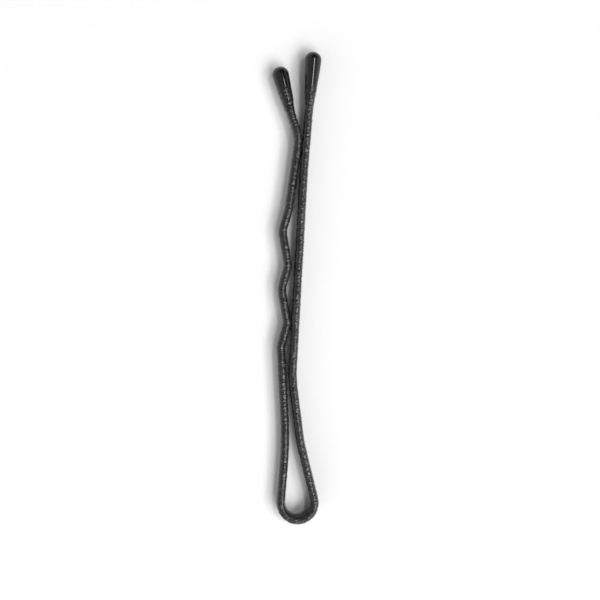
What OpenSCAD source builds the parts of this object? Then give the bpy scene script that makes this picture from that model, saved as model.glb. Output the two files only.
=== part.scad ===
// Bobby pin lying on its side. X and Y are the plane it lies in, Z runs across the strip's width.
// The origin is the centre of the round bend, and both legs run up +Y from it.

/* [Overall] */
// Length from the outside of the bend to the straight leg's tip, mm
pin_length = 51; // [48:0.5:60]
// How far the straight leg's tip reaches past the waved one, mm
tip_overlap = 1.6; // [0.5:0.1:3]
// Gap left between the closed legs where they nearly touch, mm
closed_gap = 0.06; // [0.04:0.01:0.3]

/* [Strip] */
// Thickness of the steel strip, mm
steel_t = 0.77; // [0.5:0.01:0.9]
// Width of the steel strip, mm
steel_w = 1.5; // [1.1:0.05:2.2]
// Radius of the strip's rolled edges, mm
edge_r = 0.36; // [0.1:0.02:0.36]
// Thickness of the enamel, mm
coat_t = 0.04; // [0.03:0.01:0.06]

/* [Bend] */
// Radius of the bend at the middle of the strip, mm
bend_r = 1.82; // [1.5:0.02:2.2]

/* [Straight leg] */
// Height of the neck, where the leg stops closing in so fast, mm
neck_y = 6.6; // [5:0.1:7]
// Distance of the neck corner from the middle line, mm
neck_x = 0.27; // [0.2:0.01:0.6]
// Height of the waist, where the leg is closest to the waved one, mm
waist_y = 13.5; // [12.5:0.1:15]
// Distance of the waist corner past the middle line, mm
waist_x = 0.58; // [0.4:0.01:0.7]
// Lean of the leg above the waist, degrees
lower_lean = 3.2; // [2.5:0.1:4]
// Height where the leg leans out a little more, mm
lean_y = 35.5; // [28:0.5:37.5]
// Lean of the leg above that, degrees
upper_lean = 4.7; // [4:0.1:6]
// Radius of the leg's bends, mm
leg_bend_r = 14; // [8:1:20]

/* [Waved leg] */
// Height of the middle of the leg's long outward bow, mm
bow_y = 6.5; // [6:0.1:8]
// Distance of the bow's corner from the middle line, mm
bow_x = 1.28; // [1.1:0.02:1.3]
// Radius of the bow, mm
bow_r = 40; // [30:1:42]
// Length of the flare above the kink, mm
flare_length = 7.7; // [6.5:0.1:8.5]
// Angle at which the flare leaves the kink, degrees
flare_angle = 18.4; // [15:0.1:24]
// Angle of the flare at the tip, degrees
tip_angle = 14.9; // [10:0.1:15.5]
// Radius of the bend that eases the flare just below the tip, mm
flare_r = 8; // [5:0.5:12]
// Radius of the kink, mm
kink_r = 4.6; // [2:0.1:6]

/* [Waves] */
// Number of waves
wave_count = 3; // [1:1:3]
// Length of one wave, mm
wave_pitch = 6.2; // [5:0.05:6.8]
// Height of the first crest, mm
first_crest_y = 16.9; // [16:0.1:18]
// Length of the short side of a wave, mm
wave_rise = 2.5; // [1.6:0.05:2.8]
// Depth of a wave between its corners, mm
wave_depth = 0.68; // [0.4:0.02:0.9]
// Lean of the row of waves, degrees
wave_lean = 0.8; // [0:0.1:2]
// Radius of a crest, mm
crest_r = 2.7; // [1:0.1:3.5]
// Radius of a trough, mm
trough_r = 1.9; // [1:0.1:3]

/* [Tips] */
// Length of the straight leg's tip, mm
long_tip = 5.8; // [4.5:0.1:7]
// Thickest part of the straight leg's tip, mm
long_tip_d = 1.84; // [1.5:0.02:2.2]
// Depth of the straight leg's tip across the strip, mm
long_tip_depth = 2.06; // [1.9:0.02:2.5]
// Length of the waved leg's tip, mm
short_tip = 5.1; // [3.6:0.1:5.5]
// Thickest part of the waved leg's tip, mm
short_tip_d = 1.82; // [1.45:0.02:2]
// Depth of the waved leg's tip across the strip, mm
short_tip_depth = 1.94; // [1.8:0.02:2.4]
// Resin left at the thin mouth of a tip, mm
mouth_lip = 0.04; // [0.03:0.01:0.08]
// Resin past the cut end of the strip, mm
end_cover = 0.5; // [0.4:0.05:0.9]

/* [Hidden] */
$fn = 64;
arc_step = 5;        // degrees between two sections in a bend
corner_steps = 3;    // steps round a corner of the section
taper_rings = 9;     // sections along the taper of a tip
dome_rings = 7;      // sections over the rounded end of a tip
dome_end = 84;       // degrees round the dome where its small flat end starts

STEEL = [0.55, 0.56, 0.58];
ENAMEL = [0.13, 0.13, 0.14];
RESIN = [0.07, 0.07, 0.08];

// The strip's section: half thickness, half width and corner radius, which a thin strip limits
steel = [steel_t / 2, steel_w / 2, min(edge_r, 0.47 * steel_t)];
coated = [for (size = steel) size + coat_t];
strip_t = 2 * coated[0];

pin_top = pin_length - bend_r - coated[0];     // height of the straight leg's tip
waved_top = pin_top - tip_overlap;             // height of the waved leg's tip
kink_y = waved_top - flare_length;
flare_reach = flare_r * tan((flare_angle - tip_angle) / 2);
flare_y = waved_top - (short_tip + flare_reach) * cos(tip_angle);

// Steps along a leg that leans by some degrees
function lean(from, y, angle) = [from[0] + (y - from[1]) * tan(angle), y];

// Corners of the straight leg's middle line
neck = [neck_x, neck_y];
waist = [-waist_x, waist_y];
break = lean(waist, lean_y, lower_lean);
long_end = lean(break, pin_top - end_cover, upper_lean);
straight_line = [neck, waist, break, long_end];

// Where the straight leg is at a height
function straight_x(y) = lookup(y, [for (p = straight_line) [p[1], p[0]]]);

// Where the waved leg's middle line may run at a height without touching the other
function nearest_x(y) = straight_x(y) - strip_t - closed_gap;

// What rounding takes off a corner, for the turn between two slopes
function rounding(r, turn) = r * (1 / cos(turn / 2) - 1);

// Corners of the waved leg's middle line
bow = [-bow_x, bow_y];
first_trough_y = first_crest_y + wave_rise;
wave_fall = wave_pitch - wave_rise;
rise_turn = atan(wave_depth / wave_rise);
fall_turn = atan(wave_depth / wave_fall);
trough_x = nearest_x(first_trough_y) + rounding(trough_r, rise_turn + fall_turn);
trough = [trough_x, first_trough_y];
function crest_at(k) = lean(trough, first_crest_y + k * wave_pitch, wave_lean) - [wave_depth, 0];
function trough_at(k) = lean(trough, first_trough_y + k * wave_pitch, wave_lean);
kink_turn = flare_angle + lower_lean;
kink = [nearest_x(kink_y) + rounding(kink_r, kink_turn), kink_y];
flare = lean(kink, flare_y, -flare_angle);
short_end = lean(flare, waved_top - end_cover, -tip_angle);

// Corners with their bend radii, from the bend to the tip
straight_corners = [
  [neck, leg_bend_r],
  [waist, leg_bend_r],
  [break, 3 * leg_bend_r]
];
waved_corners = [
  [bow, bow_r],
  for (k = [0 : wave_count - 1]) each [[crest_at(k), crest_r], [trough_at(k), trough_r]],
  [kink, kink_r],
  [flare, flare_r]
];

// Angle up the bend's circle at which a line towards p leaves it, for p right of the middle
function leaving_angle(p) = atan2(p[1], p[0]) - acos(bend_r / norm(p));
straight_leave = leaving_angle(neck);
waved_leave = leaving_angle([bow_x, bow_y]);
bend_angle = 180 + straight_leave + waved_leave;
straight_start = bend_r * [cos(straight_leave), sin(straight_leave)];
waved_start = bend_r * [-cos(waved_leave), sin(waved_leave)];

// Sections along a rounded line: each is [x, y, heading]
function heading(a, b) = atan2(b[1] - a[1], b[0] - a[0]);
function turn_at(a, b, c) = let (d = heading(b, c) - heading(a, b)) d - 360 * round(d / 360);
function tangent_at(a, corner, c) =
  let (half = abs(turn_at(a, corner[0], c)) / 2, room = min(norm(corner[0] - a), norm(c - corner[0])))
  min(corner[1] * tan(half), room * 0.48);
function arc_sections(a, corner, c) =
  let (
    b = corner[0],
    turn = turn_at(a, b, c),
    reach = tangent_at(a, corner, c),
    radius = reach / tan(abs(turn) / 2),
    h = heading(a, b),
    side = sign(turn),
    middle = b - reach * [cos(h), sin(h)] + side * radius * [-sin(h), cos(h)],
    steps = ceil(abs(turn) / arc_step)
  )
  [for (i = [0 : steps]) let (g = h + turn * i / steps)
    [middle[0] + side * radius * sin(g), middle[1] - side * radius * cos(g), g]];
function route(start, corners, end) =
  let (line = [start, for (c = corners) c[0], end], last = len(line) - 1)
  [
    [start[0], start[1], heading(line[0], line[1])],
    for (i = [1 : last - 1]) each arc_sections(line[i - 1], corners[i - 1], line[i + 1]),
    [end[0], end[1], heading(line[last - 1], line[last])]
  ];

// Points round a section with half thickness, half width and corner radius
function outline(size) =
  let (r = min(size[2], size[0], size[1]))
  [for (quarter = [0 : 3], i = [0 : corner_steps])
    let (a = 90 * (quarter + i / corner_steps),
         sx = (quarter == 0 || quarter == 3) ? 1 : -1,
         sz = quarter < 2 ? 1 : -1)
    [sx * (size[0] - r) + r * cos(a), sz * (size[1] - r) + r * sin(a)]];

// The same section standing across the route
function ring(at, size) =
  [for (p = outline(size)) [at[0] + p[0] * sin(at[2]), at[1] - p[0] * cos(at[2]), p[1]]];

function flat(lists) = [for (l = lists) each l];

// Triangles between rings, from ring number a for some rings of n points
function wall(a, rings, n) =
  [for (k = [a : a + rings - 2], i = [0 : n - 1])
    let (p = k * n + i, q = k * n + (i + 1) % n)
    each [[p, p + n, q], [q, p + n, q + n]]];
function flipped(faces) = [for (f = faces) [f[2], f[1], f[0]]];
function lid(k, n) = [for (i = [1 : n - 2]) [k * n, k * n + i, k * n + i + 1]];

// A solid rod through rings
module rod(rings) {
  n = len(rings[0]);
  last = len(rings) - 1;
  faces = concat(wall(0, last + 1, n), lid(0, n), flipped(lid(last, n)));
  polyhedron(flat(rings), faces, convexity = 8);
}

// A cup with a blind pocket: both open at their first ring and are closed at their last
module cup(outside, inside) {
  n = len(outside[0]);
  a = len(outside);
  b = len(inside);
  mouth = [for (i = [0 : n - 1])
    let (j = (i + 1) % n)
    each [[i, j, a * n + i], [j, a * n + j, a * n + i]]];
  faces = concat(
    wall(0, a, n),
    flipped(lid(a - 1, n)),
    flipped(wall(a, b, n)),
    lid(a + b - 1, n),
    mouth
  );
  polyhedron(concat(flat(outside), flat(inside)), faces, convexity = 8);
}

// The end of a route moved along its own direction
function shifted(at, d) = [at[0] + d * cos(at[2]), at[1] + d * sin(at[2]), at[2]];
function lengthened(path, d) =
  let (last = len(path) - 1)
  [for (i = [0 : last]) i < last ? path[i] : shifted(path[i], d)];

straight_route = route(straight_start, straight_corners, long_end);
waved_route = route(waved_start, waved_corners, short_end);

module steel_leg(path) {
  color(STEEL) rod([for (at = path) ring(at, steel)]);
}

module coat_leg(path) {
  over = lengthened(path, coat_t);
  color(ENAMEL) cup([for (at = over) ring(at, coated)], [for (at = path) ring(at, steel)]);
}

// The strip's true section for the bend, with round corners
module section_2d(size) {
  square([2 * (size[0] - size[2]), 2 * size[1]], center = true);
  square([2 * size[0], 2 * (size[1] - size[2])], center = true);
  for (sx = [-1, 1], sz = [-1, 1])
    translate([sx * (size[0] - size[2]), sz * (size[1] - size[2])]) circle(size[2]);
}

module bent() {
  rotate([0, 0, 180 - waved_leave])
    rotate_extrude(angle = bend_angle)
      translate([bend_r, 0]) children();
}

// Size of a tip's section at a share of its taper: the full section, or less towards its mouth
function tip_taper(full, u) =
  let (grow = 0.55 * u + 0.45 * sin(90 * u), lip = [for (s = coated) s + mouth_lip])
  lip + grow * (full - lip);

// The resin tip: a taper that grows out of the strip, a dome, and the pocket for the coated strip
module resin_tip(end, length, d, depth) {
  full = [d / 2, depth / 2, d / 2];
  dome = d / 2;
  taper = length - dome;
  base = shifted(end, end_cover - length);
  outside = [
    for (i = [0 : taper_rings - 1])
      let (u = i / taper_rings) ring(shifted(base, taper * u), tip_taper(full, u)),
    for (i = [0 : dome_rings])
      let (a = dome_end * i / dome_rings)
      ring(shifted(base, taper + dome * sin(a) / sin(dome_end)), cos(a) * full)
  ];
  pocket = [ring(base, coated), ring(shifted(end, coat_t), coated)];
  color(RESIN) cup(outside, pocket);
}

function last_of(path) = path[len(path) - 1];

module straight_leg_steel() {
  steel_leg(straight_route);
}

module bend_steel() {
  color(STEEL) bent() section_2d(steel);
}

module waved_leg_steel() {
  steel_leg(waved_route);
}

module straight_leg_enamel() {
  coat_leg(straight_route);
}

module bend_enamel() {
  color(ENAMEL) bent() difference() {
    section_2d(coated);
    section_2d(steel);
  }
}

module waved_leg_enamel() {
  coat_leg(waved_route);
}

module straight_leg_tip() {
  resin_tip(last_of(straight_route), long_tip, long_tip_d, long_tip_depth);
}

module waved_leg_tip() {
  resin_tip(last_of(waved_route), short_tip, short_tip_d, short_tip_depth);
}

straight_leg_steel();
bend_steel();
waved_leg_steel();
straight_leg_enamel();
bend_enamel();
waved_leg_enamel();
straight_leg_tip();
waved_leg_tip();
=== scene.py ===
# %% [markdown]
# # A bobby pin in Blender
#
# A bobby pin is one flat spring-steel strip bent double. One leg stays straight, the other is
# crimped into waves that grip the hair, and the waved leg flares at its end so that hair slides
# in. The strip is coated in black enamel, and both ends are dipped in resin.
#
# The solids of the pin come from a CAD model, which the first cell loads as a fixed frame. The
# lesson dresses that frame: the enamel gets its fine grain and the tips their gloss, and a white
# sheet, three lamps and a camera complete the picture. Blender works in metres here. The pin's own
# sizes are easier to read in millimetres, so they are written that way and multiplied by MM.

# %% Load the frame
import math

import bpy
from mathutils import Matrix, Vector


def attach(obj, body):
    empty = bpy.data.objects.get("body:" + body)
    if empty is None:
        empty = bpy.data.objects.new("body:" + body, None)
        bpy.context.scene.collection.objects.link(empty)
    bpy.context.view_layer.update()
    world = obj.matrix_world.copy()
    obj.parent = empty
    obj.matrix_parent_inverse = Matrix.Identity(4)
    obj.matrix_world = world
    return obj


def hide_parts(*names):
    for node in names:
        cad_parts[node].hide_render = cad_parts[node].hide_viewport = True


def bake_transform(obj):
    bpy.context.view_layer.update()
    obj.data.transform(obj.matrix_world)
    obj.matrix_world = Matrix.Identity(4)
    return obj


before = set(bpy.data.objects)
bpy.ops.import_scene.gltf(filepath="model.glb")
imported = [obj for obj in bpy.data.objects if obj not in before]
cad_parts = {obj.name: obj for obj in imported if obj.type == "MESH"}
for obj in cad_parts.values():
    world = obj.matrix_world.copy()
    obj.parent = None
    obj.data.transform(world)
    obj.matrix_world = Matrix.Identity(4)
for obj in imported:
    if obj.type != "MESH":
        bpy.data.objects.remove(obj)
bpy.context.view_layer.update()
MM = 0.001

# %% [markdown]
# ## The line that the strip follows
#
# A strip is easiest to make from its middle line. A wire bender works from corners, and so do
# these cells: each corner has a place in the plane of the pin and a radius, and the strip runs
# straight from one bend to the next. The line could be drawn by hand as a Bezier curve, but a rule keeps
# it true to the solids inside. Everything here is in millimetres, with the centre of the round
# bend as the origin and the tips up +Y.

# %% Sizes of the strip
pin_length, tip_overlap, closed_gap = 51, 1.6, 0.06
bend_radius = 1.82
steel_thickness, steel_width, steel_edge = 0.77, 1.5, 0.36
coat = 0.04
strip_thickness = steel_thickness + 2 * coat
strip_width = steel_width + 2 * coat
strip_edge = steel_edge + coat
pin_top = pin_length - bend_radius - strip_thickness / 2
waved_top = pin_top - tip_overlap
end_cover = 0.5  # resin past the end of the strip
print("strip with its enamel, mm:", round(strip_thickness, 2), "by", round(strip_width, 2))


# %% Corners of the straight leg
def leaning(start, y, degrees):
    """The point at height y on a line that leans by some degrees from a start."""
    return (start[0] + (y - start[1]) * math.tan(math.radians(degrees)), y)


neck = (0.27, 6.6)
waist = (-0.58, 13.5)
lean_y, lower_lean, upper_lean = 35.5, 3.2, 4.7
leg_bend_radius = 14
shoulder = leaning(waist, lean_y, lower_lean)
long_end = leaning(shoulder, pin_top - end_cover, upper_lean)
straight_corners = [
    (neck, leg_bend_radius),
    (waist, leg_bend_radius),
    (shoulder, 3 * leg_bend_radius),
]
print("the straight leg ends at", [round(c, 2) for c in long_end])

# %% [markdown]
# ## The waves
#
# The waves hold the hair. The three of them are crimped in one stroke, and each has a slow side
# and a steep side. Their troughs nearly touch the straight leg, so they are placed from that leg:
# a trough's corner lies as far from it as the strip is thick, plus the gap, less what rounding
# takes off the corner. Above them the kink sends the leg outward, into the flare.


# %% How near the waved leg may come
def straight_x(y):
    """Where the straight leg's middle line is at a height."""
    line = [neck, waist, shoulder, long_end]
    for a, b in zip(line, line[1:]):
        if y <= b[1]:
            return a[0] + (b[0] - a[0]) * (y - a[1]) / (b[1] - a[1])
    return long_end[0]


def nearest_x(y):
    """Where the waved leg's middle line is when it nearly touches the straight leg."""
    return straight_x(y) - strip_thickness - closed_gap


def rounding(radius, turn):
    """What a bend of some radius takes off its corner."""
    return radius * (1 / math.cos(math.radians(turn) / 2) - 1)


print("at 20 mm up, the middle lines are", round(straight_x(20) - nearest_x(20), 2), "mm apart")

# %% Corners of the waves
bow, bow_radius = (-1.28, 6.5), 40
wave_count, wave_pitch, wave_rise, wave_depth, wave_lean = 3, 6.2, 2.5, 0.68, 0.8
first_crest, crest_radius, trough_radius = 16.9, 2.7, 1.9
wave_turn = math.degrees(
    math.atan(wave_depth / wave_rise) + math.atan(wave_depth / (wave_pitch - wave_rise))
)
trough_y = first_crest + wave_rise
trough = (nearest_x(trough_y) + rounding(trough_radius, wave_turn), trough_y)
waved_corners = [(bow, bow_radius)]
for wave in range(wave_count):
    crest = leaning(trough, first_crest + wave * wave_pitch, wave_lean)
    waved_corners.append(((crest[0] - wave_depth, crest[1]), crest_radius))
    waved_corners.append((leaning(trough, trough_y + wave * wave_pitch, wave_lean), trough_radius))
print("each wave turns by", round(wave_turn, 1), "degrees at its trough")

# %% Corners of the flare
kink_radius, flare_length, flare_radius, flare_angle, tip_angle = 4.6, 7.7, 8, 18.4, 14.9
long_tip, short_tip = (5.8, 1.84, 2.06), (5.1, 1.82, 1.94)  # length, thickness, depth
kink_y = waved_top - flare_length
kink = (nearest_x(kink_y) + rounding(kink_radius, flare_angle + lower_lean), kink_y)
flare_reach = flare_radius * math.tan(math.radians(flare_angle - tip_angle) / 2)
flare_y = waved_top - (short_tip[0] + flare_reach) * math.cos(math.radians(tip_angle))
flare = leaning(kink, flare_y, -flare_angle)
short_end = leaning(flare, waved_top - end_cover, -tip_angle)
waved_corners += [(kink, kink_radius), (flare, flare_radius)]
print(len(waved_corners), "corners, and the waved leg ends at", [round(c, 2) for c in short_end])


# %% Where the legs leave the round bend
def leaving_angle(point):
    """Angle up the bend's circle at which the line towards a point leaves it."""
    return math.atan2(point[1], point[0]) - math.acos(bend_radius / math.hypot(*point))


straight_leave = leaving_angle(neck)
waved_leave = leaving_angle((-bow[0], bow[1]))
straight_start = (bend_radius * math.cos(straight_leave), bend_radius * math.sin(straight_leave))
waved_start = (-bend_radius * math.cos(waved_leave), bend_radius * math.sin(waved_leave))
print("the bend spans", round(180 + math.degrees(straight_leave + waved_leave), 1), "degrees")


# %% Round the corners
arc_step = 1.5  # degrees from point to point on a bend
bend_steps = 140
largest_share = 0.48  # of the run to the next corner, on either side, that a bend may use


def rounded_line(start, corners, end):
    """Points along a line of corners, each replaced by an arc of its own radius."""
    line = [start] + [c[0] for c in corners] + [end]
    points = [start]
    for i, (corner, radius) in enumerate(corners, 1):
        before, after = line[i - 1], line[i + 1]
        heading = math.atan2(corner[1] - before[1], corner[0] - before[0])
        next_heading = math.atan2(after[1] - corner[1], after[0] - corner[0])
        turn = math.remainder(next_heading - heading, 2 * math.pi)
        room = min(math.dist(before, corner), math.dist(corner, after)) * largest_share
        reach = min(radius * math.tan(abs(turn) / 2), room)
        radius = reach / math.tan(abs(turn) / 2)
        side = math.copysign(1, turn)
        cx = corner[0] - reach * math.cos(heading) - side * radius * math.sin(heading)
        cy = corner[1] - reach * math.sin(heading) + side * radius * math.cos(heading)
        steps = max(2, math.ceil(math.degrees(abs(turn)) / arc_step))
        for k in range(steps + 1):
            g = heading + turn * k / steps
            points.append((cx + side * radius * math.sin(g), cy - side * radius * math.cos(g)))
    return points + [end]


straight_line = rounded_line(straight_start, straight_corners, long_end)
waved_line = rounded_line(waved_start, waved_corners, short_end)
bend_from, bend_to = math.pi - waved_leave, 2 * math.pi + straight_leave
bend_angles = [bend_from + (bend_to - bend_from) * k / bend_steps for k in range(bend_steps + 1)]
bend_line = [(bend_radius * math.cos(a), bend_radius * math.sin(a)) for a in bend_angles]
print("points:", len(straight_line), len(bend_line), len(waved_line))


# %% [markdown]
# ## One long curve in three stretches
#
# The legs turn against each other when the pin opens, and the bend between them gives. So the
# strip is three pieces that meet end to end, as the CAD solids are. Each stretch is a curve
# object, and each remembers how far along the whole strip it starts. A pattern that reads this
# distance then runs on across the joins as if the strip was never cut.

# %% Curves for the three stretches
def line_length(points):
    """The distance along a line of points."""
    return sum(math.dist(a, b) for a, b in zip(points, points[1:]))


def curve_object(name, points):
    """A poly curve through points given in millimetres."""
    curve = bpy.data.curves.new(name, "CURVE")
    curve.dimensions = "3D"
    spline = curve.splines.new("POLY")
    spline.points.add(len(points) - 1)
    for point, (x, y) in zip(spline.points, points):
        point.co = (x * MM, y * MM, 0, 1)
    obj = bpy.data.objects.new(name, curve)
    bpy.context.scene.collection.objects.link(obj)
    return obj


# The strip is walked from the waved tip, down round the bend, and up to the straight tip.
stretches = {
    "waved_leg": list(reversed(waved_line)),
    "bend": bend_line,
    "straight_leg": straight_line,
}
starts, walked = {}, 0.0
for name, points in stretches.items():
    starts[name] = walked
    walked += line_length(points)
    print(name, "starts at", round(starts[name], 2), "mm")
print("length of the strip:", round(walked, 1), "mm")

# %% [markdown]
# ## Helpers for node trees
#
# Geometry Nodes and shaders are both trees of nodes, and a script builds them the same way: make a
# node, set it up, link its inputs. The tree could be drawn in the node editor instead. In a script
# it can be read from top to bottom, and these few helpers keep each node to a line or two.


# %% Trees and nodes
def new_tree(name, kind, inputs, outputs):
    """A node tree with named sockets, and its two end nodes."""
    tree = bpy.data.node_groups.new(name, kind)
    for label, socket, default in inputs:
        item = tree.interface.new_socket(name=label, in_out="INPUT", socket_type=socket)
        if default is not None:
            item.default_value = default
    for label, socket in outputs:
        tree.interface.new_socket(name=label, in_out="OUTPUT", socket_type=socket)
    return tree, tree.nodes.new("NodeGroupInput"), tree.nodes.new("NodeGroupOutput")


def add(tree, kind, links=None, **settings):
    """A node with its settings, and its inputs linked or set by name or number."""
    node = tree.nodes.new(kind)
    for key, value in settings.items():
        setattr(node, key, value)
    for key, value in (links or {}).items():
        socket = node.inputs[key]
        if isinstance(value, bpy.types.NodeSocket):
            tree.links.new(value, socket)
        else:
            socket.default_value = value
    return node


print("nodes come from new_tree and add")


# %% Values: maths, mixing and ranges
def maths(tree, operation, a, b):
    """The result of one Math node."""
    return add(tree, "ShaderNodeMath", {0: a, 1: b}, operation=operation).outputs[0]


def scaled(tree, vector, factor):
    """A vector times a value."""
    return add(tree, "ShaderNodeVectorMath", {0: vector, "Scale": factor}, operation="SCALE").outputs[0]


def mixed(tree, share, a, b):
    """A value between a and b, by the share of b."""
    return add(tree, "ShaderNodeMix", {0: share, 2: a, 3: b}, data_type="FLOAT").outputs[0]


def ranged(tree, value, old=(0.0, 1.0), new=(0.0, 1.0), **settings):
    """A value carried from an old range to a new one."""
    limits = {"From Min": old[0], "From Max": old[1], "To Min": new[0], "To Max": new[1]}
    return add(tree, "ShaderNodeMapRange", {"Value": value, **limits}, **settings).outputs[0]


print("values come from maths, scaled, mixed and ranged")

# %% [markdown]
# ## The grain under the enamel
#
# Under the enamel the surface isn't smooth. The rolled strip carries fine ridges across it, and
# the baked coat shrinks over them into a pebbled skin. At this scale the relief shows at the pin's
# outline, so it is made in the mesh and not only in the shader. A node group works out the height
# from two noises: one stretched across the strip for the ridges, one nearly even for the pebbles.
# The pits stop short of the steel, which is only a coat's thickness below.

# %% The grain, as a group that gives a height
skin_relief = {"Ridge Pitch": 0.17, "Ridge Depth": 0.09, "Pebble Size": 0.15, "Pebble Depth": 0.085}
deepest_pit = -0.018


def relief_inputs(relief):
    """Tree inputs for the pitches and depths of a relief given in millimetres."""
    return [(label, "NodeSocketFloat", size * MM) for label, size in relief.items()]


grain_tree, grain_in, grain_out = new_tree(
    "Grain height",
    "GeometryNodeTree",
    [
        ("Place", "NodeSocketVector", None),
        *relief_inputs(skin_relief),
        ("Deepest", "NodeSocketFloat", deepest_pit * MM),
    ],
    [("Height", "NodeSocketFloat")],
)
grain_place = add(grain_tree, "ShaderNodeSeparateXYZ", {0: grain_in.outputs["Place"]}).outputs


def noise_at(pitch, stretch, offset):
    """A noise about zero, with cells pitch long along the strip and stretch times that across it.

    The offset, in cells, keeps two noises from repeating each other.
    """
    across = maths(grain_tree, "MULTIPLY", pitch, stretch)
    along = maths(grain_tree, "ADD", maths(grain_tree, "DIVIDE", grain_place[0], pitch), offset)
    cells = {
        0: along,
        1: maths(grain_tree, "DIVIDE", grain_place[1], across),
        2: maths(grain_tree, "DIVIDE", grain_place[2], across),
    }
    vector = add(grain_tree, "ShaderNodeCombineXYZ", cells).outputs[0]
    noise = add(
        grain_tree,
        "ShaderNodeTexNoise",
        {"Vector": vector, "Scale": 1.0, "Detail": 1.0, "Roughness": 0.5},
        noise_dimensions="3D",
    )
    return maths(grain_tree, "SUBTRACT", noise.outputs[0], 0.5)


def relief_part(noise, depth):
    """A noise as a height, with about the depth from its lowest to its highest."""
    return maths(grain_tree, "MULTIPLY", noise, maths(grain_tree, "MULTIPLY", depth, 2.0))


ridges = noise_at(grain_in.outputs["Ridge Pitch"], stretch=2.6, offset=11.0)
pebbles = noise_at(grain_in.outputs["Pebble Size"], stretch=1.2, offset=47.0)
height = maths(
    grain_tree,
    "ADD",
    relief_part(ridges, grain_in.outputs["Ridge Depth"]),
    relief_part(pebbles, grain_in.outputs["Pebble Depth"]),
)
height = maths(grain_tree, "MAXIMUM", height, grain_in.outputs["Deepest"])
grain_tree.links.new(height, grain_out.inputs["Height"])
print("grain group:", len(grain_tree.nodes), "nodes")

# %% [markdown]
# ## Sweeping the section with Geometry Nodes
#
# The strip is round wire rolled flat, so its faces are flat and its edges nearly half-round. The
# section is a rectangle with filleted corners, and a Curve to Mesh node carries it along the line.
# A Bevel on the curve object could do that too, but the nodes also keep two things that the grain
# needs: how far along the strip a point is, and where on the section it lies. Both end in one named
# attribute, strip_place, which the materials read again later.


# %% Attributes, and how both trees end
def stored(tree, geometry, name, value, data_type="FLOAT_VECTOR"):
    """The geometry with a value kept on its points under a name."""
    return add(
        tree,
        "GeometryNodeStoreNamedAttribute",
        {"Geometry": geometry, "Name": name, "Value": value},
        data_type=data_type,
        domain="POINT",
    ).outputs[0]


def recalled(tree, name, data_type="FLOAT_VECTOR"):
    """A value that was kept under a name."""
    return add(tree, "GeometryNodeInputNamedAttribute", {"Name": name}, data_type=data_type).outputs[0]


def grain_height(tree, place, ask):
    """The grain's height at a place, with the relief that the tree's own inputs ask for."""
    relief = {label: ask[label] for label in skin_relief}
    return add(tree, "GeometryNodeGroup", {"Place": place, **relief}, node_tree=grain_tree).outputs["Height"]


def end_with_relief(tree, tree_out, geometry, height, material):
    """Lift a mesh along its normals by a height, smooth it, and give it its material."""
    normal = add(tree, "GeometryNodeInputNormal").outputs[0]
    lift = scaled(tree, normal, height)
    moved = add(tree, "GeometryNodeSetPosition", {"Geometry": geometry, "Offset": lift})
    smooth = add(tree, "GeometryNodeSetShadeSmooth", {"Geometry": moved.outputs[0]})
    real = add(tree, "GeometryNodeRealizeInstances", {"Geometry": smooth.outputs[0]})
    done = add(tree, "GeometryNodeSetMaterial", {"Geometry": real.outputs[0], "Material": material})
    tree.links.new(done.outputs[0], tree_out.inputs["Geometry"])


print("both trees end in Set Material")

# %% The strip's tree: its path and its section
strip_tree, strip_in, strip_out = new_tree(
    "Swept strip",
    "GeometryNodeTree",
    [
        ("Geometry", "NodeSocketGeometry", None),
        ("Thickness", "NodeSocketFloat", strip_thickness * MM),
        ("Width", "NodeSocketFloat", strip_width * MM),
        ("Edge Radius", "NodeSocketFloat", strip_edge * MM),
        ("Ring Spacing", "NodeSocketFloat", 0.028 * MM),
        ("Section Points", "NodeSocketInt", 48),
        ("Start", "NodeSocketFloat", 0.0),
        *relief_inputs(skin_relief),
        ("Material", "NodeSocketMaterial", None),
    ],
    [("Geometry", "NodeSocketGeometry")],
)
ask = strip_in.outputs
path = add(
    strip_tree,
    "GeometryNodeResampleCurve",
    {"Curve": ask["Geometry"], "Length": ask["Ring Spacing"]},
    mode="LENGTH",
)
path = add(strip_tree, "GeometryNodeSetCurveNormal", {"Curve": path.outputs[0]}, mode="Z_UP")
walk = add(strip_tree, "GeometryNodeSplineParameter").outputs["Length"]
path = stored(strip_tree, path.outputs[0], "along", maths(strip_tree, "ADD", walk, ask["Start"]), "FLOAT")
outline = add(
    strip_tree,
    "GeometryNodeCurvePrimitiveQuadrilateral",
    {"Width": ask["Thickness"], "Height": ask["Width"]},
)
outline = add(
    strip_tree,
    "GeometryNodeFilletCurve",
    {"Curve": outline.outputs[0], "Count": 10, "Radius": ask["Edge Radius"], "Limit Radius": True},
    mode="POLY",
)
outline = add(
    strip_tree,
    "GeometryNodeResampleCurve",
    {"Curve": outline.outputs[0], "Count": ask["Section Points"]},
    mode="COUNT",
)
where = add(strip_tree, "GeometryNodeInputPosition").outputs[0]
outline = stored(strip_tree, outline.outputs[0], "section", where)
print("path and section:", len(strip_tree.nodes), "nodes")

# %% The strip's tree: sweep, place and grain
swept = add(
    strip_tree,
    "GeometryNodeCurveToMesh",
    {"Curve": path, "Profile Curve": outline, "Fill Caps": True},
)
section = add(strip_tree, "ShaderNodeSeparateXYZ", {0: recalled(strip_tree, "section")}).outputs
place = add(
    strip_tree,
    "ShaderNodeCombineXYZ",
    {0: recalled(strip_tree, "along", "FLOAT"), 1: section[0], 2: section[1]},
).outputs[0]
marked = stored(strip_tree, swept.outputs[0], "strip_place", place)
height = grain_height(strip_tree, place, ask)
end_with_relief(strip_tree, strip_out, marked, height, ask["Material"])
print("strip tree:", len(strip_tree.nodes), "nodes")

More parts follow.
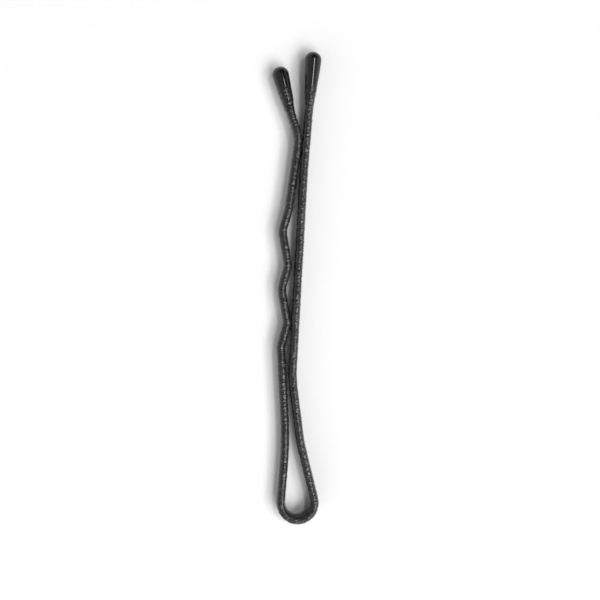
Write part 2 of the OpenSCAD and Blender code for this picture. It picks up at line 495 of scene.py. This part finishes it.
# %% [markdown]
# ## Finishes
#
# Three finishes cover the pin: baked black enamel on the strip, glossy black resin on the tips,
# and bare cold-rolled steel inside. Black is hard to shade, because what is seen is mostly the
# reflection of the room. So the base colours stay near black, and the roughness and the relief do
# the work. One shader group gives all three their fine unevenness. It turns a place on the surface
# into a height for the bump, and into two masks that mix a slow cloud with a fine speckle: one
# shifts the roughness, the other picks between the two tints of a finish.

# %% A shader group for fine unevenness
speckle_in_rough, speckle_in_tint = 0.75, 0.6
speckle_size = 1.2  # times the size of the bump's grain
usual_noise = (0.35, 0.65)  # where most of a noise's values lie
fine_tree, fine_in, fine_out = new_tree(
    "Fine unevenness",
    "ShaderNodeTree",
    [
        ("Place", "NodeSocketVector", None),
        ("Grain", "NodeSocketFloat", 0.07 * MM),
        ("Cloud", "NodeSocketFloat", 1.5 * MM),
    ],
    [("Height", "NodeSocketFloat"), ("Rough", "NodeSocketFloat"), ("Tint", "NodeSocketFloat")],
)


def fine_noise(pitch, detail):
    """A noise whose cells are pitch long on the surface."""
    vector = scaled(fine_tree, fine_in.outputs["Place"], maths(fine_tree, "DIVIDE", 1.0, pitch))
    inputs = {"Vector": vector, "Scale": 1.0, "Detail": detail, "Roughness": 0.6}
    return add(fine_tree, "ShaderNodeTexNoise", inputs).outputs[0]


fine_grain = fine_noise(fine_in.outputs["Grain"], 2.0)
speckle = fine_noise(maths(fine_tree, "MULTIPLY", fine_in.outputs["Grain"], speckle_size), 1.0)
cloud = fine_noise(fine_in.outputs["Cloud"], 3.0)
spots = ranged(fine_tree, mixed(fine_tree, speckle_in_tint, cloud, speckle), old=usual_noise)
fine_tree.links.new(fine_grain, fine_out.inputs["Height"])
fine_tree.links.new(mixed(fine_tree, speckle_in_rough, cloud, speckle), fine_out.inputs["Rough"])
fine_tree.links.new(spots, fine_out.inputs["Tint"])
print("shader group:", len(fine_tree.nodes), "nodes")


# %% A finish from its own values
def finish(name, dark, light, rough, bump, grain, cloud, metallic=0.0, place="strip_place"):
    """A material whose tint, roughness and bump come from the shared group.

    Rough is the range of the roughness. Bump, grain and cloud are sizes in millimetres. Place is
    the name of an attribute, or "object" for the object's own coordinates.
    """
    material = bpy.data.materials.new(name)
    material.use_nodes = True
    tree = material.node_tree
    shader = tree.nodes["Principled BSDF"]
    if place == "object":
        where = add(tree, "ShaderNodeTexCoord").outputs["Object"]
    else:
        where = add(tree, "ShaderNodeAttribute", attribute_name=place).outputs["Vector"]
    sizes = {"Place": where, "Grain": grain * MM, "Cloud": cloud * MM}
    fine = add(tree, "ShaderNodeGroup", sizes, node_tree=fine_tree).outputs
    tints = {0: fine["Tint"], 6: (*dark, 1), 7: (*light, 1)}
    tint = add(tree, "ShaderNodeMix", tints, data_type="RGBA").outputs[2]
    relief = add(tree, "ShaderNodeBump", {"Height": fine["Height"], "Distance": bump * MM, "Strength": 1.0})
    tree.links.new(tint, shader.inputs["Base Color"])
    tree.links.new(ranged(tree, fine["Rough"], old=usual_noise, new=rough), shader.inputs["Roughness"])
    tree.links.new(relief.outputs[0], shader.inputs["Normal"])
    shader.inputs["Metallic"].default_value = metallic
    return material


print("a finish takes its colours, roughness and sizes")

# %% The three finishes
enamel = finish(
    "black_enamel",
    dark=(0.004, 0.004, 0.0044),
    light=(0.034, 0.034, 0.0345),
    rough=(0.05, 0.14),
    bump=0.012,
    grain=0.125,
    cloud=1.4,
)
resin = finish(
    "black_resin",
    dark=(0.006, 0.006, 0.0065),
    light=(0.011, 0.011, 0.0115),
    rough=(0.08, 0.14),
    bump=0.0012,
    grain=0.5,
    cloud=2.2,
)
steel = finish(
    "cold_rolled_steel",
    dark=(0.46, 0.47, 0.49),
    light=(0.6, 0.6, 0.61),
    rough=(0.24, 0.42),
    bump=0.003,
    grain=0.09,
    cloud=1.8,
    metallic=1.0,
    place="object",
)
print("finishes:", enamel.name, resin.name, steel.name)

# %% [markdown]
# ## Making the pieces
#
# Each stretch gets a modifier with the strip tree. The inputs are set by each socket's own
# identifier, and the evaluated result becomes a plain mesh, so that what rides on the frame is
# a mesh with no modifiers. The enamel is made three times, once for each stretch, and the bare
# steel once more for the bend, because the bend is the part of the core that has to give.


# %% A piece from a curve and a tree
def set_inputs(modifier, values):
    """Set a nodes modifier's inputs by their labels, through their identifiers."""
    for item in modifier.node_group.interface.items_tree:
        if item.item_type == "SOCKET" and item.in_out == "INPUT" and item.name in values:
            modifier[item.identifier] = values[item.name]


def baked(source, name, tree, values):
    """The evaluated result of a tree on an object, as a new plain mesh object."""
    modifier = source.modifiers.new(name, "NODES")
    modifier.node_group = tree
    set_inputs(modifier, values)
    source.update_tag()
    bpy.context.view_layer.update()
    graph = bpy.context.evaluated_depsgraph_get()
    mesh = bpy.data.meshes.new_from_object(source.evaluated_get(graph))
    bpy.data.objects.remove(source)
    piece = bpy.data.objects.new(name, mesh)
    bpy.context.scene.collection.objects.link(piece)
    print(name, "has", len(mesh.vertices), "vertices and", len(mesh.polygons), "faces")
    return piece


def enamel_stretch(name):
    """The enamel skin of one stretch."""
    source = curve_object(name + "_line", stretches[name])
    values = {"Start": starts[name] * MM, "Material": enamel}
    return baked(source, name + "_enamel_skin", strip_tree, values)


waved_skin = enamel_stretch("waved_leg")
bend_skin = enamel_stretch("bend")
straight_skin = enamel_stretch("straight_leg")

# %% The steel inside the bend
bend_core = baked(
    curve_object("bend_core_line", stretches["bend"]),
    "bend_steel_core",
    strip_tree,
    {
        "Thickness": steel_thickness * MM,
        "Width": steel_width * MM,
        "Edge Radius": steel_edge * MM,
        "Ring Spacing": 0.1 * MM,
        "Section Points": 32,
        "Ridge Depth": 0.0,
        "Pebble Depth": 0.0,
        "Start": starts["bend"] * MM,
        "Material": steel,
    },
)

# %% [markdown]
# ## The dipped tips
#
# A dipped tip is thin where it starts on the strip, swells evenly, and ends in a round drop. Its
# section changes from the flat strip's to nearly a circle, so it isn't a sweep of one profile.
# It is lofted here ring by ring: each ring is the strip's rounded rectangle, grown a little more
# towards the drop. Near its mouth the resin is so thin that the grain of the strip shows
# through, coarser for the resin over it. The second tree adds that grain, and a mask fades it out
# along the tip.

# %% The tree for a dipped tip
tip_relief = {"Ridge Pitch": 0.24, "Ridge Depth": 0.11, "Pebble Size": 0.2, "Pebble Depth": 0.1}
tip_tree, tip_in, tip_out = new_tree(
    "Dipped tip",
    "GeometryNodeTree",
    [
        ("Geometry", "NodeSocketGeometry", None),
        *relief_inputs(tip_relief),
        ("Material", "NodeSocketMaterial", None),
    ],
    [("Geometry", "NodeSocketGeometry")],
)
ask = tip_in.outputs
height = grain_height(tip_tree, recalled(tip_tree, "strip_place"), ask)
faded = maths(tip_tree, "MULTIPLY", height, recalled(tip_tree, "show_through", "FLOAT"))
end_with_relief(tip_tree, tip_out, ask["Geometry"], faded, ask["Material"])
print("tip tree:", len(tip_tree.nodes), "nodes")


# %% One ring
def rounded_rectangle(half_x, half_z, radius, count=96):
    """Points evenly spaced round a section with rounded corners, starting on its +X side."""
    flat_x, flat_z, arc = half_x - radius, half_z - radius, math.pi / 2 * radius
    runs = [flat_z, arc, 2 * flat_x, arc, 2 * flat_z, arc, 2 * flat_x, arc, flat_z]
    total, points = sum(runs), []
    for i in range(count):
        left, k = total * i / count, 0
        while left > runs[k] and k < len(runs) - 1:
            left -= runs[k]
            k += 1
        if k % 2:
            a = math.pi / 2 * (k // 2) + left / radius
            sx, sz = ((1, 1), (-1, 1), (-1, -1), (1, -1))[k // 2]
            points.append((sx * flat_x + radius * math.cos(a), sz * flat_z + radius * math.sin(a)))
        else:
            flat_sides = {
                0: (half_x, left),
                2: (flat_x - left, half_z),
                4: (-half_x, flat_z - left),
                6: (left - flat_x, -half_z),
                8: (half_x, left - flat_z),
            }
            points.append(flat_sides[k])
    return points


print("points in a ring:", len(rounded_rectangle(half_x=0.5, half_z=0.8, radius=0.4)))

# %% All the rings of a tip
taper_rings, drop_rings = 170, 32
resin_lip = 0.012  # thickness of the resin at the mouth
even_share, early_share = 0.55, 0.45  # of the swelling: evenly along the tip, or more near the mouth
fade_length = 0.15  # share of the taper over which the grain fades out


def tip_rings(length, thick, deep, grain_to):
    """Distance from the mouth, section and show-through mask of each ring of a tip.

    The grain shows from the mouth up to a share of the taper, grain_to.
    """
    mouth = [half + resin_lip for half in (strip_thickness / 2, strip_width / 2, strip_edge)]
    full = [thick / 2, deep / 2, thick / 2]
    taper = length - thick / 2
    rings = []
    for i in range(taper_rings):
        u = i / taper_rings
        grow = even_share * u + early_share * math.sin(math.pi / 2 * u)
        size = [a + grow * (b - a) for a, b in zip(mouth, full)]
        fade = min(1, max(0, (grain_to - u) / fade_length))
        rings.append((taper * u, size, fade * fade * (3 - 2 * fade)))
    for i in range(drop_rings):
        a = math.pi / 2 * i / drop_rings
        rings.append((taper + thick / 2 * math.sin(a), [c * math.cos(a) for c in full], 0.0))
    return rings


def loft_faces(rings, count):
    """Faces from ring to ring, a cap on the first ring, and a fan from the last to an end point."""
    faces = []
    for k in range(rings - 1):
        for i in range(count):
            j = (i + 1) % count
            faces.append((k * count + i, (k + 1) * count + i, (k + 1) * count + j, k * count + j))
    faces.append(tuple(range(count)))
    last, end = (rings - 1) * count, rings * count
    return faces + [(last + i, end, last + (i + 1) % count) for i in range(count)]


print("rings in a tip:", len(tip_rings(*long_tip, grain_to=0.5)))


# %% Loft a tip onto the end of the strip
def dipped_tip(name, line, shape, grain_to, along_at_end, along_sign):
    """A closed loft on the last straight run of a line, with its place on the strip stored.

    The strip's own distance at its end, along_at_end, grows or falls towards the tip by its sign.
    """
    length, thick, deep = shape
    (x0, y0), (x1, y1) = line[-2], line[-1]
    run = math.hypot(x1 - x0, y1 - y0)
    ux, uy = (x1 - x0) / run, (y1 - y0) / run
    base = (x1 + ux * (end_cover - length), y1 + uy * (end_cover - length))
    vertices, places, masks = [], [], []
    rings = tip_rings(length, thick, deep, grain_to)
    for distance, size, mask in rings:
        along = along_at_end + along_sign * (distance - (length - end_cover))
        for across, z in rounded_rectangle(*size):
            x = base[0] + ux * distance + uy * across
            y = base[1] + uy * distance - ux * across
            vertices.append((x * MM, y * MM, z * MM))
            places.append((along * MM, across * along_sign * MM, z * MM))
            masks.append(mask)
    count = len(vertices) // len(rings)
    vertices.append(((base[0] + ux * length) * MM, (base[1] + uy * length) * MM, 0))
    places.append(((along_at_end + along_sign * end_cover) * MM, 0, 0))
    masks.append(0.0)
    mesh = bpy.data.meshes.new(name + "_loft")
    mesh.from_pydata(vertices, [], loft_faces(len(rings), count))
    stored_place = mesh.attributes.new("strip_place", "FLOAT_VECTOR", "POINT")
    stored_place.data.foreach_set("vector", [c for p in places for c in p])
    stored_mask = mesh.attributes.new("show_through", "FLOAT", "POINT")
    stored_mask.data.foreach_set("value", masks)
    mesh.update()
    source = bpy.data.objects.new(name + "_loft", mesh)
    bpy.context.scene.collection.objects.link(source)
    return baked(source, name, tip_tree, {"Material": resin})


straight_tip = dipped_tip(
    "straight_leg_resin_tip", straight_line, long_tip, grain_to=0.45, along_at_end=walked, along_sign=1
)
waved_tip = dipped_tip(
    "waved_leg_resin_tip", waved_line, short_tip, grain_to=0.66, along_at_end=0.0, along_sign=-1
)

# %% [markdown]
# ## Putting the pieces on the frame
#
# Every new piece takes the place of a CAD solid, which stays behind for collision. The pieces of
# a leg ride on that leg's body. When the waved leg swings out, the bend has to turn with it at one
# end and stay put at the other. Here the bend's two pieces only get their place baked into their
# meshes, and ride on no body. The steel inside the legs is the CAD model's own, and only gets its
# finish.

# %% Ride, bake and replace
for piece, body, node, slot in [
    (straight_skin, "straight_leg", "straight_leg_enamel", "enamel"),
    (waved_skin, "waved_leg", "waved_leg_enamel", "enamel"),
    (straight_tip, "straight_leg", "straight_leg_tip", "resin"),
    (waved_tip, "waved_leg", "waved_leg_tip", "resin"),
]:
    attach(piece, body)
    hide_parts(node)
    print(piece.name, "rides on", body)
for piece, node, slot in [(bend_skin, "bend_enamel", "enamel"), (bend_core, "bend_steel", "steel")]:
    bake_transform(piece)
    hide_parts(node)
    print(piece.name, "bends between the legs")
for node in ("straight_leg_steel", "waved_leg_steel"):
    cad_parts[node].data.materials.clear()
    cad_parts[node].data.materials.append(steel)

# %% [markdown]
# ## The white sheet
#
# The pin lies on its side on a white sheet. It rests on three points: the two tips, which are
# deeper than the strip, and the foot of the bend. A level plane under its lowest point would leave
# the bend in the air, so the sheet is laid through those three points, and then lowered to clear
# whatever part of the pin still reaches below them. The paper is a little uneven, as paper is.

# %% Where the pin rests
layer = 0.02 * MM  # heights within a layer count as the same


def lowest(piece):
    """The lowest vertex of a piece."""
    return min((v.co for v in piece.data.vertices), key=lambda c: c.z).copy()


def foot(piece):
    """Of the vertices in a piece's lowest layer, the one farthest from the tips."""
    return min((v.co for v in piece.data.vertices), key=lambda c: (round(c.z / layer), c.y)).copy()


rests = [lowest(straight_tip), lowest(waved_tip), foot(bend_skin)]
up = (rests[1] - rests[0]).cross(rests[2] - rests[0]).normalized()
up = up if up.z > 0 else -up
skins = (straight_tip, waved_tip, bend_skin, straight_skin, waved_skin)
sink = min((v.co - rests[0]).dot(up) for piece in skins for v in piece.data.vertices)
base = rests[0] + up * sink
print("the pin rests at", [[round(c / MM, 2) for c in r] for r in rests], "sink", round(sink / MM, 3))


# %% The sheet, and its paper
def sheet_z(x, y):
    """Height of the sheet at a point of the plane."""
    return base.z - ((x - base.x) * up.x + (y - base.y) * up.y) / up.z


sheet_reach = 1.2  # from the middle of the sheet to its sides
fibre_scale, fibre_height = 900.0, 0.01 * MM
quarters = ((-1, -1), (1, -1), (1, 1), (-1, 1))
sheet_corners = [(x * sheet_reach, y * sheet_reach) for x, y in quarters]
sheet_mesh = bpy.data.meshes.new("white_sheet")
sheet_mesh.from_pydata([(x, y, sheet_z(x, y)) for x, y in sheet_corners], [], [(0, 1, 2, 3)])
sheet = bpy.data.objects.new("white_sheet", sheet_mesh)
bpy.context.scene.collection.objects.link(sheet)
paper = bpy.data.materials.new("white_paper")
paper.use_nodes = True
paper_tree = paper.node_tree
paper_shader = paper_tree.nodes["Principled BSDF"]
paper_shader.inputs["Base Color"].default_value = (0.9, 0.9, 0.9, 1)
paper_shader.inputs["Roughness"].default_value = 0.9
paper_shader.inputs["Specular IOR Level"].default_value = 0.1
paper_place = add(paper_tree, "ShaderNodeTexCoord").outputs["Object"]
fibre = add(paper_tree, "ShaderNodeTexNoise", {"Vector": paper_place, "Scale": fibre_scale, "Detail": 2.0})
paper_bump = add(paper_tree, "ShaderNodeBump", {"Height": fibre.outputs[0], "Distance": fibre_height})
paper_tree.links.new(paper_bump.outputs[0], paper_shader.inputs["Normal"])
sheet_mesh.materials.append(paper)
print("the sheet is", 2 * sheet_reach, "m wide")

# %% [markdown]
# ## The room
#
# A room gives soft light from all round, and it is what glossy things mirror. Both come from the
# world here, but they aren't the same picture. The light is brightest low down at the lower left,
# which keeps the shadows open on that side, and weakest low down past the tips. The picture that
# the pin mirrors is a white wall that darkens overhead, with one dark part past the tips and a
# little to the right, as if somebody leaned over the sheet there. Black resin is a mirror, and that
# part is the dark spot on the end of each tip.
#
# The Light Path node tells the two apart. Glossy and transmission rays see the mirrored picture,
# rays from the camera see plain white behind the sheet, and all others get the light.


# %% Directions in the room
def pointing(azimuth, elevation):
    """A unit vector from an azimuth, round from +X, and an elevation, in degrees."""
    a, e = math.radians(azimuth), math.radians(elevation)
    return (math.cos(a) * math.cos(e), math.sin(a) * math.cos(e), math.sin(e))


world = bpy.data.worlds.new("bright_room")
bpy.context.scene.world = world
world.use_nodes = True
world_tree = world.node_tree
direction = add(world_tree, "ShaderNodeTexCoord").outputs["Generated"]
height_up = add(world_tree, "ShaderNodeSeparateXYZ", {0: direction}).outputs[2]


def along(azimuth, elevation):
    """How far a direction in the room agrees with one way: 1 along it, 0 square to it."""
    ways = {0: direction, 1: pointing(azimuth, elevation)}
    return add(world_tree, "ShaderNodeVectorMath", ways, operation="DOT_PRODUCT").outputs["Value"]


def shaded(value, azimuth, elevation, wide, narrow, least):
    """A value that falls to a share of itself around one way, between two angles from it."""
    edge = (math.cos(math.radians(wide)), math.cos(math.radians(narrow)))
    near = along(azimuth, elevation)
    share = ranged(world_tree, near, old=edge, new=(1.0, least), interpolation_type="SMOOTHSTEP")
    return maths(world_tree, "MULTIPLY", value, share)


print("straight up is", [round(c, 2) for c in pointing(0, 90)])

# %% The light, and the picture that is mirrored
near_floor, overhead = 0.5, 0.24
side_glow, glow_azimuth, glow_falloff = 1.72, 230, 3.0
white_wall, ceiling, wall_to_ceiling = 1.0, 0.42, (0.05, 0.7)
even = ranged(world_tree, height_up, new=(near_floor, overhead))
facing = maths(world_tree, "MAXIMUM", along(glow_azimuth, 0), 0.0)
glow = maths(world_tree, "POWER", facing, glow_falloff)
light = maths(world_tree, "ADD", even, maths(world_tree, "MULTIPLY", glow, side_glow))
light = shaded(light, azimuth=75, elevation=20, wide=100, narrow=40, least=0.1)
mirrored = ranged(world_tree, height_up, old=wall_to_ceiling, new=(white_wall, ceiling))
mirrored = shaded(mirrored, azimuth=62, elevation=44, wide=43, narrow=27, least=0.08)
print("room light from", near_floor, "near the floor to", overhead, "overhead")

# %% Which ray sees which
rays = add(world_tree, "ShaderNodeLightPath").outputs
backdrop = mixed(world_tree, rays["Is Camera Ray"], mirrored, white_wall)
shows = maths(world_tree, "MAXIMUM", rays["Is Glossy Ray"], rays["Is Transmission Ray"])
shows = maths(world_tree, "MAXIMUM", rays["Is Camera Ray"], shows)
strength = mixed(world_tree, shows, light, backdrop)
room = world_tree.nodes["Background"]
room.inputs["Color"].default_value = (1, 1, 1, 1)
world_tree.links.new(strength, room.inputs["Strength"])
print("the room has", len(world_tree.nodes), "nodes")

# %% [markdown]
# ## The lamps
#
# Three area lamps hang round the pin, 1.6 m away. The sheet has to come out just white, so that
# it isn't burnt out and the shadow, which tells how high the strip stands, stays. The large lamp
# at the lower right casts that shadow, to the upper left. The small one on the right makes the
# brightest dots on the grain, and the narrow one, higher up on that side, draws the thin bright
# line down each tip. A sun lamp could cast the shadow too, but its edge would be hard, and it would
# mirror as a point.

# %% Three soft boxes
middle = (0.00026, 0.02192, 0)  # the point under the camera, where the lamps look
lamp_distance = 1.6


def soft_box(name, azimuth, elevation, width, height, power):
    """An oblong area lamp, level along its width, that looks at the middle of the pin."""
    data = bpy.data.lights.new(name, "AREA")
    data.shape, data.size, data.size_y, data.energy = "RECTANGLE", width, height, power
    box = bpy.data.objects.new(name, data)
    bpy.context.scene.collection.objects.link(box)
    way = Vector(pointing(azimuth, elevation))
    box.location = Vector(middle) + way * lamp_distance
    box.rotation_euler = way.to_track_quat("Z", "Y").to_euler()
    print(name, "at", [round(c, 2) for c in box.location])


soft_box("soft_box", azimuth=-51, elevation=44.5, width=1.1, height=0.8, power=19.8)
soft_box("small_box", azimuth=-8, elevation=45, width=0.45, height=0.25, power=5.4)
soft_box("strip_light", azimuth=23, elevation=64.5, width=0.48, height=0.18, power=4.6)

# %% [markdown]
# ## The camera
#
# The camera looks straight down from only 90 mm away, as for any close shot of so small a thing, so
# a little of the inside of the bend comes into view. A long lens from far off would show the bend
# as a bare outline. The focal length follows from the distance and the width of the picture.

# %% Straight down, from 90 mm
camera_distance, frame_width, sensor_width = 0.09, 0.06495, 36
camera_data = bpy.data.cameras.new("camera")
camera_data.sensor_width = sensor_width
camera_data.lens = sensor_width * camera_distance / frame_width
camera_data.clip_start, camera_data.clip_end = 0.01, 10
camera = bpy.data.objects.new("camera", camera_data)
bpy.context.scene.collection.objects.link(camera)
camera.location = (middle[0], middle[1], camera_distance)
bpy.context.scene.camera = camera
bpy.context.scene.view_settings.view_transform = "Standard"
print("lens:", round(camera_data.lens, 1), "mm")

# %% [markdown]
# ## Finish
#
# The dressed pin has to fill the same box as its solids. The last line brings the scene up to date.

# %% Finish
bpy.context.view_layer.update()
